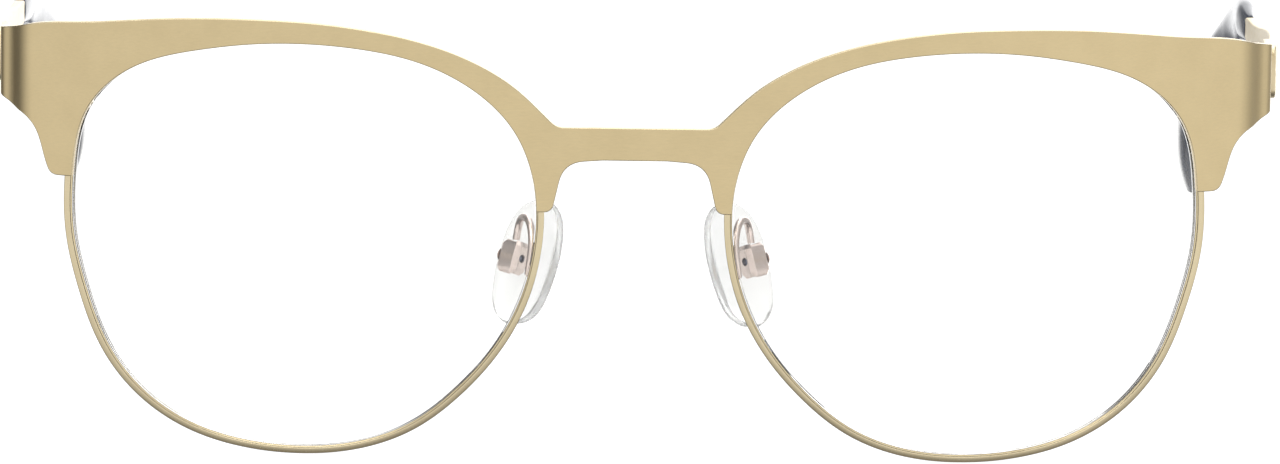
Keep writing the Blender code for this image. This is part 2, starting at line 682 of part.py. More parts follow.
def main():
    for old in list(bpy.data.objects):
        bpy.data.objects.remove(old, do_unlink=True)
    satin_gold = material("satin_gold", (0.66, 0.52, 0.30), 1.0, 0.42)
    bright_gold = material("bright_gold", (0.80, 0.65, 0.38), 1.0, 0.25)
    rose_silver = material("rose_silver", (0.62, 0.50, 0.45), 1.0, 0.28)
    dark_steel = material("dark_steel", (0.18, 0.20, 0.24), 1.0, 0.35)
    clear_lens = material("clear_lens", (0.98, 0.99, 1.0), 0.0, 0.02, alpha=0.35, transmission=1.0)
    clear_silicone = material("clear_silicone", (0.93, 0.94, 0.92), 0.0, 0.12, alpha=0.6, transmission=0.9)
    clear_plastic = material("clear_plastic", (0.95, 0.95, 0.96), 0.0, 0.15, alpha=0.5, transmission=0.9)
    dark_acetate = material("dark_acetate", (0.03, 0.035, 0.045), 0.0, 0.12)

    brow_plate(satin_gold)
    for side, word in ((1, "left"), (-1, "right")):
        eyewire(f"eyewire_{word}", bright_gold, side)
        lens(f"lens_{word}", clear_lens, side)
        closing_blocks(side, word, bright_gold, dark_steel)
        nose_pad(side, word, clear_silicone, clear_plastic)
        pad_mount(side, word, rose_silver, dark_steel)
        front_hinge(side, word, satin_gold, dark_steel)
        temple(side, word, satin_gold, dark_acetate)


main()
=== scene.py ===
import json
import math

import bmesh
import bpy
import numpy as np
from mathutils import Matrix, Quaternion, Vector


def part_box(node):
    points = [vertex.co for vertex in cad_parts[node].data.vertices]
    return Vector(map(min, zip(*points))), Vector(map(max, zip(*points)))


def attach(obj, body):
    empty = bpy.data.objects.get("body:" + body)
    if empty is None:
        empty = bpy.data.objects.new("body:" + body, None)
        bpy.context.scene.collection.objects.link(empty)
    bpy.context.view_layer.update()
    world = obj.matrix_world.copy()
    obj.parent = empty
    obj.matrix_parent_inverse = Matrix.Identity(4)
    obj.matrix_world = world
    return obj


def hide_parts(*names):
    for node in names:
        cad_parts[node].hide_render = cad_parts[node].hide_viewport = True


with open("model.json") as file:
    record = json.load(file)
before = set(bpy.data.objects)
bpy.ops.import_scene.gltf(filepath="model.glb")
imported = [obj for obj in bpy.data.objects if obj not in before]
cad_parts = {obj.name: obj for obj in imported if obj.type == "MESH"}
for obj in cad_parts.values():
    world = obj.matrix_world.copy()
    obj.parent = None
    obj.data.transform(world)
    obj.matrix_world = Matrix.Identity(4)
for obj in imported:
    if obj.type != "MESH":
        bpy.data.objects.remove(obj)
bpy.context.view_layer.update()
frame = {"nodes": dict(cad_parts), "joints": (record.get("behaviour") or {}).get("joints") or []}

MM = 0.001
FRONT_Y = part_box("brow_plate")[0].y / MM  # the front face of the sheet


def in_mm(point):
    """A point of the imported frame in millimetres, with y counted from the front face."""
    x, y, z = (value / MM for value in point)
    return Vector((x, y - FRONT_Y, z))


JOINTS = {joint["name"]: joint for joint in frame["joints"]}

# ---- Sizes in millimetres, for the +X half ----

SHEET = 0.8
SOLDER = 0.05
EDGE_ROUND = 0.11

LENS_OPENING = [
    (61.5, 24.3), (61.55, 31.2), (59.95, 38.25), (54.7, 43.35), (48.1, 45.5), (41.8, 46.5),
    (35.9, 46.75), (30.0, 46.35), (23.95, 45.1), (18.1, 42.3), (13.3, 37.6), (10.95, 31.15),
    (10.95, 24.3), (12.55, 18.05), (15.55, 12.5), (19.5, 7.85), (24.2, 4.05), (29.9, 1.7),
    (35.9, 0.895), (42.0, 1.25), (48.2, 2.95), (53.7, 6.5), (57.7, 11.7), (60.05, 17.85),
]
WIRE_WIDTH = 0.88
WIRE_DEPTH = 1.9
WIRE_EDGE_ROUND = 0.1
LIP_WIDTH = 0.2  # a fine step on the lens side of the wire's front
LIP_BACK = 0.25
LIP_SLOPE = 0.06
GROOVE_WIDTH = 1.0
GROOVE_DEPTH = 0.42
LENS_HALF = 0.8  # half the lens's thickness
LENS_GAP = 0.04  # between the lens's edge and the wire's opening
LENS_CHAMFER = 0.06
BEVEL_SHORT = 0.08  # how much smaller than the groove the lens's bevel is
LENS_FACE_RINGS = [0.05, 0.15, 0.3, 0.45, 0.6, 0.75, 0.88, 0.97]
SPLIT_HEIGHT = 34.5
SPLIT_GAP = 0.12

FLAT_HALF = 20.0
BASE_RADIUS = 150.0
RIM_CURVE_FROM = 30.0
BEND_START = 66.0
BASE_HEADING = math.degrees(math.asin((BEND_START - FLAT_HALF) / BASE_RADIUS))
BENDS = [(BASE_RADIUS, BASE_HEADING, 0.0), (3.2, 60.0, 0.45), (2.4, 30.0, 0.3), (1.1, 90.0, 4.1)]

BRIDGE_TOP = 38.15
BRIDGE_UNDERSIDE = 34.52
BROW_TOP = [
    (8.65, 38.15), (10.5, 40.0), (12.7, 42.05), (17.0, 44.85), (21.4, 46.7), (25.8, 47.9), (30.5, 48.7),
    (36.0, 49.2), (42.0, 49.3), (48.0, 49.15), (54.2, 48.65), (60.8, 47.95), (66.0, 47.4), (68.9, 46.45),
]
REAR_EDGE_TOP = 46.1
REAR_EDGE_LOW = 38.9
LEG_OUTER = [
    (69.2, 38.4), (68.2, 37.75), (67.0, 37.1), (66.0, 36.1), (65.2, 34.3), (64.65, 32.3), (64.05, 30.62),
]
NASAL_CORNER_LOW = (9.0, 28.65)
NASAL_CORNER_HIGH = (7.75, 34.2)
CORNER_REACHES = [0.8, 1.0, 1.2, 0.9, 0.16, 0.16, 0.9, 2.2]

TEMPLE_DROP = math.radians(8.4)
HINGE_CENTRE = in_mm(JOINTS["temple_fold_left"]["pos_m"])
BAR_SIZES = [
    (0.0, 1.1, 4.2), (0.25, 1.1, 5.2), (0.8, 1.1, 5.8), (1.8, 1.1, 6.0), (12.0, 1.1, 5.6), (28.0, 1.1, 4.6),
    (48.0, 1.1, 3.7), (70.0, 1.1, 2.8), (72.5, 1.0, 2.0), (75.0, 0.9, 1.7),
]
BAR_PATH = [(2.9, 1.25), (3.7, 12.0), (4.9, 30.0), (5.4, 50.0), (4.9, 66.0)]
TIP_PATH = [
    (71.4, 89.0, 32.3), (71.5, 97.0, 31.2), (71.0, 105.0, 27.9), (69.4, 113.0, 22.9),
    (67.5, 121.5, 16.7), (67.1, 130.0, 10.8), (67.8, 138.0, 5.8), (68.8, 144.8, 2.23),
]
BAR_EDGE_ROUND = 0.28
BAR_SHOWN = 74.0
TIP_START = 71.0
TIP_SIZES = [
    (0.0, 1.25, 2.95), (1.5, 1.6, 3.4), (6.0, 2.4, 4.5), (20.0, 3.0, 5.4), (34.0, 2.9, 6.2), (78.0, 2.8, 6.6),
]
TIP_ROUNDING = 1.8
TIP_MOUTH = 0.4  # the tip's front end is rounded over this length

PAD_SCREW_CENTRE = in_mm(JOINTS["pad_rock_left"]["pos_m"])
PAD_SPLAY = math.radians(50)
PAD_SLOPE = math.radians(22)
PAD_BACK = Vector((math.sin(PAD_SPLAY), math.cos(PAD_SPLAY), 0))
PAD_LEVEL = Vector((-math.cos(PAD_SPLAY), math.sin(PAD_SPLAY), 0))
PAD_NORMAL = PAD_LEVEL * math.cos(PAD_SLOPE) - Vector((0, 0, math.sin(PAD_SLOPE)))
PAD_UP = PAD_LEVEL * math.sin(PAD_SLOPE) + Vector((0, 0, math.cos(PAD_SLOPE)))
PAD_SCREW_AT = -3.0
PAD_OUTLINE = [
    (0.0, 7.1), (2.6, 6.0), (3.9, 3.0), (4.1, 0.0), (3.8, -3.2), (2.7, -6.0),
    (0.0, -7.1), (-2.7, -6.0), (-3.8, -3.2), (-4.1, 0.0), (-3.9, 3.0), (-2.6, 6.0),
]
PAD_PROFILE = [
    (0.3, -0.93), (0.6, -0.94), (0.78, -0.93), (0.9, -0.8), (0.97, -0.55), (1.0, -0.1), (0.98, 0.2),
    (0.92, 0.48), (0.83, 0.67), (0.7, 0.81), (0.5, 0.91), (0.28, 0.95), (0.08, 0.95),
]
PAD_SCREW_RADIUS = 0.4
PAD_SCREW_HEAD = [(0.03, 0.18), (0.62, 0.17), (0.74, 0.12), (0.8, 0.03), (0.8, 0.0)]  # (radius, rise)
PAD_SCREW_END = 0.25  # how far the screw's end lies inside the box's side
PAD_SCREW_CHAMFER = 0.07
PAD_BORE_RADIUS = PAD_SCREW_RADIUS + 0.05
CUTTER_REACH = 3.0  # past the box on every side
PAD_BOX_HALF_WIDTH = 1.4
PAD_BOX_HALF_HEIGHT = 1.8
PAD_BOX_SPAN = (-4.05, -1.6)
PAD_BOX_EDGE = 0.5
PAD_BOX_BROKEN_EDGE = 0.07
SLOT_HALF = 0.63
STEM_HALF = 0.55
STEM_HALF_LENGTH = 0.9
STEM_EDGE = 0.12
STEM_SPAN = (PAD_SCREW_AT + 0.25, -0.6)
LUG_RADIUS = 0.72
SLOT_FLOOR = -3.8
ARM_PATH = [
    (11.5, 3.64, 21.0), (11.3, 3.6, 22.6), (11.15, 4.2, 24.9), (11.6, 5.7, 26.65), (12.25, 7.3, 26.5),
    (12.65, 8.25, 25.3), (12.9, 8.12, 23.8),
]
ARM_RADIUS = 0.42

SMOOTH_ANGLE = 35  # degrees; sharper edges stay sharp


# ---- Curves ----


def lengths_along(line):
    return np.concatenate([[0], np.cumsum(np.linalg.norm(np.diff(line, axis=0), axis=1))])


def at_lengths(line, wanted):
    along = lengths_along(line)
    return np.stack([np.interp(wanted, along, values) for values in line.T], axis=1)


def smooth_through(points, closed=False):
    """A dense polyline along the cubic spline through the points."""
    knots = np.array(points, float)
    if closed:
        knots = np.vstack([knots, knots[:1]])
    gaps = np.linalg.norm(np.diff(knots, axis=0), axis=1)
    slopes = np.diff(knots, axis=0) / gaps[:, None]
    system = np.eye(len(knots))
    wanted = np.zeros_like(knots)
    for i in range(1, len(knots) - 1):
        system[i, i - 1 : i + 2] = gaps[i - 1], 2 * (gaps[i - 1] + gaps[i]), gaps[i]
        wanted[i] = 6 * (slopes[i] - slopes[i - 1])
    if closed:
        system[0, -1] = -1
        system[-1] = 0
        system[-1, [0, 1, -2, -1]] = 2 * gaps[0], gaps[0], gaps[-1], 2 * gaps[-1]
        wanted[-1] = 6 * (slopes[0] - slopes[-1])
    bend = np.linalg.solve(system, wanted)
    line = []
    for i, gap in enumerate(gaps):
        for part in np.linspace(0, 1, 48, endpoint=False):
            rest = 1 - part
            cubic = ((rest**3 - rest) * bend[i] + (part**3 - part) * bend[i + 1]) * gap**2 / 6
            line.append(rest * knots[i] + part * knots[i + 1] + cubic)
    return np.array([*line, knots[-1]])


def evenly(line, count):
    return at_lengths(line, np.linspace(0, lengths_along(line)[-1], count))


def trimmed(line, from_start, from_end):
    along = lengths_along(line)
    last = along[-1] - from_end
    inside = along[(along > from_start + 1e-3) & (along < last - 1e-3)]
    return at_lengths(line, [from_start, *inside, last])


def rounded_chain(runs, reaches, steps=8):
    """One polyline from runs that meet end to end, with the corner after each rounded off over its reach."""
    chain = []
    for run, before, after in zip(runs, [0.0, *reaches], [*reaches, 0.0]):
        piece = trimmed(np.array(run, float), before, after)
        if before:
            start, corner = chain[-1], np.array(run[0], float)
            for part in np.arange(1, steps) / steps:
                rest = 1 - part
                chain.append(rest**2 * start + 2 * rest * part * corner + part**2 * piece[0])
            chain += list(piece)
        else:
            chain += list(piece[1:] if chain else piece)
    return np.array(chain)


def rounded_polygon(corners, radius, steps=4):
    """A polygon of (u, v) points with each corner rounded off over the radius."""
    shape = []
    for i, corner in enumerate(corners):
        ends = []
        for other in (corners[i - 1], corners[(i + 1) % len(corners)]):
            way = np.subtract(other, corner)
            ends.append(corner + way * min(radius / np.linalg.norm(way), 0.45))
        for part in np.linspace(0, 1, steps):
            rest = 1 - part
            shape.append(rest**2 * ends[0] + 2 * rest * part * np.array(corner) + part**2 * ends[1])
    return shape


def circle(sides):
    """(cosine, sine) pairs once round."""
    return [(math.cos(a), math.sin(a)) for a in np.linspace(0, 2 * math.pi, sides, endpoint=False)]


def outward_normals(loop):
    along = np.roll(loop, -1, axis=0) - np.roll(loop, 1, axis=0)
    normals = np.stack([along[:, 1], -along[:, 0]], axis=1)
    return normals / np.linalg.norm(normals, axis=1)[:, None]


def grown(loop, distance):
    return loop + distance * outward_normals(loop)


def opening_loop(count):
    """The lens opening as evenly spaced points, counter-clockwise from its temporal side."""
    return evenly(smooth_through(LENS_OPENING, closed=True), count + 1)[:-1]


def height_crossing(loop, i, height):
    low, high = loop[i], loop[(i + 1) % len(loop)]
    return low + (high - low) * (height - low[1]) / (high[1] - low[1])


# ---- The curved front ----


def plan_at(distance):
    """(x, y, heading) of the sheet's front face at a distance along it from the middle."""
    x, y, heading = 0.0, 0.0, 0.0
    left = abs(distance)
    runs = [(FLAT_HALF, 0.0)]
    before = 0.0
    for radius, goal, straight in BENDS:
        turn = math.radians(goal - before)
        runs += [(radius * abs(turn), math.copysign(1 / radius, turn)), (straight, 0.0)]
        before = goal
    for length, curvature in runs:
        step = min(left, length)
        if curvature:
            after = heading + step * curvature
            x += (math.sin(after) - math.sin(heading)) / curvature
            y += (math.cos(heading) - math.cos(after)) / curvature
            heading = after
        else:
            x += step * math.cos(heading)
            y += step * math.sin(heading)
        left -= step
        if left <= 0:
            break
    side = math.copysign(1, distance)
    return side * x, y, side * heading


PLAN_TABLE = np.linspace(0, 79, 1600)
PLAN_X = np.array([plan_at(s)[0] for s in PLAN_TABLE])
PLAN_LENGTH = FLAT_HALF + sum(
    radius * abs(math.radians(goal - before)) + straight
    for (radius, goal, straight), before in zip(BENDS, [0.0, *[goal for _, goal, _ in BENDS]])
)


def along_at(x):
    return float(np.interp(x, PLAN_X, PLAN_TABLE))


def base_depth(x, z):
    """How far the front face lies behind the bridge, on the base curve."""
    across = max(abs(x) - FLAT_HALF, 0.0)
    down = max(RIM_CURVE_FROM - z, 0.0)
    return 2 * BASE_RADIUS - math.sqrt(BASE_RADIUS**2 - across**2) - math.sqrt(BASE_RADIUS**2 - down**2)


def rim_point(x, z, depth):
    """A point behind the sheet, `depth` back from the eyewire's front."""
    lean = math.asin(max(abs(x) - FLAT_HALF, 0.0) / BASE_RADIUS)
    return Vector((x - depth * math.sin(lean), base_depth(x, z) + SHEET + SOLDER + depth * math.cos(lean), z))


# ---- Solids ----


def lofted(rings, edge_rows=()):
    """A closed solid through rings of points. Faces in the rows edge_rows take the second material."""
    bm = bmesh.new()
    rows = [[bm.verts.new(point) for point in ring] for ring in rings]
    for k, (row, following) in enumerate(zip(rows, rows[1:])):
        for i in range(len(row)):
            face = bm.faces.new((row[i - 1], row[i], following[i], following[i - 1]))
            face.material_index = 1 if k in edge_rows else 0
    bm.faces.new(rows[0])
    bm.faces.new(rows[-1])
    return bm


def prism(polygon, start, end, place):
    return lofted([[place(u, v, w) for u, v in polygon] for w in (start, end)])


def turned(profile, base, axis, sides=48, edge_rows=()):
    """A turned solid: (radius, height) pairs along `axis` from `base`."""
    axis = Vector(axis).normalized()
    across = axis.orthogonal().normalized()
    other = axis.cross(across)
    base = Vector(base)
    ring = circle(sides)
    rings = [[base + axis * h + (across * c + other * s) * r for c, s in ring] for r, h in profile]
    return lofted(rings, edge_rows)


def swept(path, section):
    """A solid along a path of points, with the section of (across, other) points at each."""
    rings = []
    across = Vector((1, 0, 0))
    for point, direction in zip(path, np.gradient(path, axis=0)):
        direction = Vector(direction).normalized()
        across = (across - direction * across.dot(direction)).normalized()
        other = across.cross(direction)
        rings.append([Vector(point) + across * u + other * v for u, v in section])
    return lofted(rings)


def place_verts(bm, side):
    for vert in bm.verts:
        vert.co = Vector((side * vert.co.x, vert.co.y + FRONT_Y, vert.co.z)) * MM
    bmesh.ops.recalc_face_normals(bm, faces=bm.faces)


def made_object(name, bm, side, looks, smooth_angle=SMOOTH_ANGLE):
    place_verts(bm, side)
    mesh = bpy.data.meshes.new(name)
    bm.to_mesh(mesh)
    bm.free()
    mesh.shade_smooth()
    mesh.set_sharp_from_angle(angle=math.radians(smooth_angle))
    for look in looks:
        mesh.materials.append(look)
    made = bpy.data.objects.new(name, mesh)
    bpy.context.scene.collection.objects.link(made)
    return made


def piece(name, bm, side, looks, body, slot, replaces, smooth_angle=SMOOTH_ANGLE):
    made = made_object(name, bm, side, looks, smooth_angle)
    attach(made, body)
    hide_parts(*replaces)
    return made


def changed(target, tools, operation, side):
    """Applies a Boolean with each tool to the target's mesh."""
    for bm in tools:
        helper = made_object("helper", bm, side, [])
        modifier = target.modifiers.new("boolean", "BOOLEAN")
        modifier.operation = operation
        modifier.object = helper
        modifier.solver = "EXACT"
        evaluated = target.evaluated_get(bpy.context.evaluated_depsgraph_get())
        mesh = bpy.data.meshes.new_from_object(evaluated)
        target.modifiers.clear()
        target.data = mesh
        bpy.data.objects.remove(helper, do_unlink=True)
    target.data.shade_smooth()
    target.data.set_sharp_from_angle(angle=math.radians(SMOOTH_ANGLE))


def softened(target, width):
    """Breaks the sharp edges."""
    bevel = target.modifiers.new("broken edges", "BEVEL")
    bevel.width = width * MM
    bevel.segments = 2
    bevel.limit_method = "ANGLE"
    bevel.angle_limit = math.radians(SMOOTH_ANGLE)
    bevel.harden_normals = True


# ---- Materials ----


def new_material(name, color, metallic, roughness):
    made = bpy.data.materials.new(name)
    made.use_nodes = True
    shader = made.node_tree.nodes["Principled BSDF"]
    shader.inputs["Base Color"].default_value = (*color, 1)
    shader.inputs["Metallic"].default_value = metallic
    shader.inputs["Roughness"].default_value = roughness
    return made, made.node_tree, shader


def noise(tree, scale, stretch=(1, 1, 1), detail=4.0, rough=0.55):
    """Noise in the object's own metres. `stretch` squeezes the pattern along each axis."""
    coordinates = tree.nodes.new("ShaderNodeTexCoord")
    mapping = tree.nodes.new("ShaderNodeMapping")
    mapping.inputs["Scale"].default_value = stretch
    texture = tree.nodes.new("ShaderNodeTexNoise")
    texture.inputs["Scale"].default_value = scale
    texture.inputs["Detail"].default_value = detail
    texture.inputs["Roughness"].default_value = rough
    tree.links.new(coordinates.outputs["Object"], mapping.inputs["Vector"])
    tree.links.new(mapping.outputs["Vector"], texture.inputs["Vector"])
    return texture.outputs["Fac"]


def ramp(tree, value, stops):
    """A colour ramp over (position, colour) stops."""
    node = tree.nodes.new("ShaderNodeValToRGB")
    elements = node.color_ramp.elements
    while len(elements) < len(stops):
        elements.new(0.5)
    for element, (position, color) in zip(elements, stops):
        element.position = position
        element.color = (*color, 1)
    tree.links.new(value, node.inputs["Fac"])
    return node.outputs["Color"]


def spread(tree, value, low, high, start=0.3, end=0.7):
    node = tree.nodes.new("ShaderNodeMapRange")
    node.inputs["From Min"].default_value = start
    node.inputs["From Max"].default_value = end
    node.inputs["To Min"].default_value = low
    node.inputs["To Max"].default_value = high
    tree.links.new(value, node.inputs["Value"])
    return node.outputs["Result"]


def mixed(tree, factor, first, second, blend="MIX"):
    node = tree.nodes.new("ShaderNodeMix")
    node.data_type = "RGBA"
    node.blend_type = blend
    for name, value in (("Factor", factor), ("A", first), ("B", second)):
        socket = next(s for s in node.inputs if s.name == name and s.enabled)
        if isinstance(value, bpy.types.NodeSocket):
            tree.links.new(value, socket)
        else:
            socket.default_value = value
    return next(s for s in node.outputs if s.enabled)


def bumped(tree, shader, height, strength, distance):
    bump = tree.nodes.new("ShaderNodeBump")
    bump.inputs["Strength"].default_value = strength
    bump.inputs["Distance"].default_value = distance * MM
    tree.links.new(height, bump.inputs["Height"])
    tree.links.new(bump.outputs["Normal"], shader.inputs["Normal"])


def metal(name, dark, light, roughness, grain, bump, stretch=(1, 1, 1), scale=5000):
    """Plated metal: blotchy tone, fine grain that follows `stretch`, and uneven polish."""
    made, tree, shader = new_material(name, light, 1.0, sum(roughness) / 2)
    blotches = noise(tree, 260, detail=3)
    fine = noise(tree, scale, stretch, detail=5, rough=0.6)
    tone = ramp(tree, blotches, [(0.3, dark), (0.7, light)])
    shade = ramp(tree, fine, [(0.3, (1 - grain,) * 3), (0.7, (1, 1, 1))])
    tree.links.new(mixed(tree, 1.0, tone, shade, "MULTIPLY"), shader.inputs["Base Color"])
    tree.links.new(spread(tree, fine, *roughness), shader.inputs["Roughness"])
    bumped(tree, shader, fine, bump, 0.02)
    return made


def make_looks():
    looks = {}
    looks["satin"] = metal(
        "brushed_gold", (0.70, 0.565, 0.325), (0.735, 0.595, 0.345), (0.3, 0.4), 0.08, 0.2, (0.25, 1, 1.2))
    # Painted light: the sheet's rounded edges get their own gold, darker and smoother than the face, standing
    # in for the light and shade seen along the edges.
    looks["edge"] = metal(
        "edge_gold_painted_light", (0.58, 0.48, 0.30), (0.64, 0.54, 0.35), (0.2, 0.32), 0.05, 0.15, (0.3, 0.3, 1))
    looks["wire"] = metal(
        "wire_gold", (0.72, 0.61, 0.40), (0.76, 0.65, 0.43), (0.2, 0.28), 0.04, 0.06, scale=16000)
    looks["rose"] = metal(
        "rose_silver", (0.68, 0.58, 0.53), (0.78, 0.68, 0.63), (0.2, 0.3), 0.05, 0.06, scale=16000)
    looks["steel"] = metal("screw_steel", (0.05, 0.06, 0.10), (0.12, 0.14, 0.20), (0.25, 0.4), 0.1, 0.2)
    # Painted highlight: a lighter copy of the satin gold, so the temples and hinge leaves look brighter as if
    # lit; the grain running along the bar is real.
    looks["bar"] = metal(
        "brushed_gold_bar_painted_sheen", (0.74, 0.62, 0.40), (0.82, 0.70, 0.47), (0.3, 0.42), 0.08, 0.2, (1, 0.2, 1))

    made, tree, shader = new_material("clear_lens", (1.0, 0.995, 0.985), 0.0, 0.0)
    shader.inputs["Transmission Weight"].default_value = 1.0
    shader.inputs["IOR"].default_value = 1.5
    coat = noise(tree, 120, detail=2)
    tree.links.new(spread(tree, coat, 0.0, 0.012), shader.inputs["Roughness"])
    looks["lens"] = made

    for name, clear, tint, rough in (
        ("silicone", 0.85, 0.77, (0.08, 0.16)),
        ("plastic", 0.92, 0.92, (0.05, 0.12)),
    ):
        made, tree, shader = new_material(f"clear_{name}", (tint, tint, tint), 0.0, 0.1)
        shader.inputs["Transmission Weight"].default_value = clear
        shader.inputs["IOR"].default_value = 1.41
        haze = noise(tree, 700, detail=3)
        tone = ramp(tree, haze, [(0.3, (tint, tint + 0.01, tint)), (0.7, (tint + 0.06,) * 3)])
        tree.links.new(tone, shader.inputs["Base Color"])
        tree.links.new(spread(tree, haze, *rough), shader.inputs["Roughness"])
        bumped(tree, shader, haze, 0.1, 0.03)
        looks[name] = made

    made, tree, shader = new_material("slate_acetate", (0.03, 0.035, 0.045), 0.0, 0.17)
    swirl = noise(tree, 90, (1, 0.35, 1), detail=4)
    fine = noise(tree, 2500, detail=2)
    tone = ramp(tree, swirl, [(0.3, (0.02, 0.025, 0.04)), (0.7, (0.035, 0.042, 0.062))])
    tree.links.new(tone, shader.inputs["Base Color"])
    tree.links.new(spread(tree, fine, 0.14, 0.2), shader.inputs["Roughness"])
    bumped(tree, shader, fine, 0.05, 0.02)
    looks["acetate"] = made
    return looks


# ---- The browline sheet ----


def sheet_outline():
    """Half the sheet's outline as (distance along the sheet, z), from the middle of its top edge and back."""

    def unrolled(points):
        return [(along_at(x), z) for x, z in points]

    def rear_edge(z):
        return PLAN_LENGTH + (z - REAR_EDGE_TOP) * math.tan(TEMPLE_DROP), z

    loop = grown(opening_loop(480), SOLDER)
    first = max(i for i in range(120) if loop[i][1] < LEG_OUTER[-1][1])
    last = max(i for i in range(120, 300) if loop[i][1] > NASAL_CORNER_LOW[1])
    start = height_crossing(loop, first, LEG_OUTER[-1][1])
    end = height_crossing(loop, last, NASAL_CORNER_LOW[1])
    lens_edge = [start, *loop[first + 1 : last + 1], end]
    corners = [end, NASAL_CORNER_LOW, NASAL_CORNER_HIGH]
    underside = [NASAL_CORNER_HIGH, (3.5, BRIDGE_UNDERSIDE), (0.0, BRIDGE_UNDERSIDE)]
    runs = [
        [(0.0, BRIDGE_TOP), BROW_TOP[0]],
        evenly(smooth_through([*unrolled(BROW_TOP), rear_edge(REAR_EDGE_TOP)]), 150),
        [rear_edge(REAR_EDGE_TOP), rear_edge(REAR_EDGE_LOW)],
        evenly(smooth_through([rear_edge(REAR_EDGE_LOW), *unrolled(LEG_OUTER)]), 70),
        unrolled([LEG_OUTER[-1], start]),
        unrolled(lens_edge),
        unrolled(corners[0:2]),
        corners[1:3],
        underside,
    ]
    return rounded_chain(runs, CORNER_REACHES)


def brow_plate(looks):
    half = sheet_outline()
    outline = np.vstack([half, half[1:-1][::-1] * (-1, 1)])[::-1]
    angles = np.radians([0, 30, 60, 90])
    quarter = [(EDGE_ROUND * (1 - math.sin(a)), EDGE_ROUND * (1 - math.cos(a))) for a in angles]
    sides = [*quarter, *[(inset, SHEET - depth) for inset, depth in quarter[::-1]]]
    rings = [[(s, depth, z) for s, z in grown(outline, -inset)] for inset, depth in sides]
    bm = lofted(rings, edge_rows=range(len(sides) - 1))
    stations = [*np.arange(FLAT_HALF, BEND_START, 1.0), *np.arange(BEND_START, PLAN_LENGTH, 0.22)]
    for cut in [*[-s for s in stations], 0.0, *stations]:
        everything = bm.verts[:] + bm.edges[:] + bm.faces[:]
        bmesh.ops.bisect_plane(bm, geom=everything, dist=1e-4, plane_co=(cut, 0, 0), plane_no=(1, 0, 0))
    for vert in bm.verts:
        x, y, heading = plan_at(vert.co.x)
        depth = vert.co.y
        vert.co = (x - depth * math.sin(heading), y + depth * math.cos(heading), vert.co.z)
    # The second material is the edge gold with painted light on the rounded edges.
    shown = [looks["satin"], looks["edge"]]
    made = piece("browline", bm, 1, shown, "front", "satin_gold", ["brow_plate"], 60)
    made.modifiers.new("face normals", "WEIGHTED_NORMAL").keep_sharp = True


# ---- Eyewires and lenses ----


def eyewire(looks, side, word):
    loop = opening_loop(420)
    first = min(i for i in range(len(loop)) if loop[i][1] > SPLIT_HEIGHT)
    upper_end = height_crossing(loop, first - 1, SPLIT_HEIGHT + SPLIT_GAP / 2)
    lower_end = height_crossing(loop, first - 1, SPLIT_HEIGHT - SPLIT_GAP / 2)
    normals = outward_normals(loop)
    path = [upper_end, *np.roll(loop, -first, axis=0), lower_end]
    ways = [normals[first], *np.roll(normals, -first, axis=0), normals[first]]
    groove_front = (WIRE_DEPTH - GROOVE_WIDTH) / 2
    section = rounded_polygon([
        (LIP_WIDTH, 0), (WIRE_WIDTH, 0), (WIRE_WIDTH, WIRE_DEPTH), (0, WIRE_DEPTH),
        (0, WIRE_DEPTH - groove_front), (GROOVE_DEPTH, WIRE_DEPTH / 2), (0, groove_front),
        (0, LIP_BACK), (LIP_WIDTH, LIP_BACK - LIP_SLOPE),
    ], WIRE_EDGE_ROUND)
    rings = [
        [rim_point(x + u * way[0], z + u * way[1], v) for u, v in section]
        for (x, z), way in zip(path, ways)
    ]
    rim = lofted(rings)
    piece(f"rim_{word}", rim, side, [looks["wire"]], "front", "bright_gold", [f"eyewire_{word}"], 60)


def lens(looks, side, word):
    loop = opening_loop(200)
    normals = outward_normals(loop)
    middle = loop.mean(axis=0)
    lip = GROOVE_WIDTH / 2 - BEVEL_SHORT

    def ring(scale, out, depth):
        points = middle + (loop - middle) * scale + normals * out
        return [rim_point(x, z, WIRE_DEPTH / 2 + depth) for x, z in points]

    face_edge = -LENS_GAP - LENS_CHAMFER
    rings = [
        *[ring(scale, 0, -LENS_HALF) for scale in LENS_FACE_RINGS],
        ring(1, face_edge, -LENS_HALF),
        ring(1, -LENS_GAP, -LENS_HALF + LENS_CHAMFER),
        ring(1, -LENS_GAP, -lip),
        ring(1, GROOVE_DEPTH - BEVEL_SHORT, 0),
        ring(1, -LENS_GAP, lip),
        ring(1, -LENS_GAP, LENS_HALF - LENS_CHAMFER),
        ring(1, face_edge, LENS_HALF),
        *[ring(scale, 0, LENS_HALF) for scale in LENS_FACE_RINGS[::-1]],
    ]
    glass, shown = lofted(rings), [looks["lens"]]
    made = piece(f"clear_lens_{word}", glass, side, shown, "front", "clear_lens", [f"lens_{word}"], 30)
    made.visible_shadow = False


# ---- Nose pads ----


def in_pad(back, up, normal):
    return PAD_SCREW_CENTRE + PAD_BACK * back + PAD_UP * up + PAD_NORMAL * (normal - PAD_SCREW_AT)


def pad_bore():
    return turned(
        [(PAD_BORE_RADIUS, -CUTTER_REACH), (PAD_BORE_RADIUS, CUTTER_REACH)], PAD_SCREW_CENTRE, PAD_BACK)


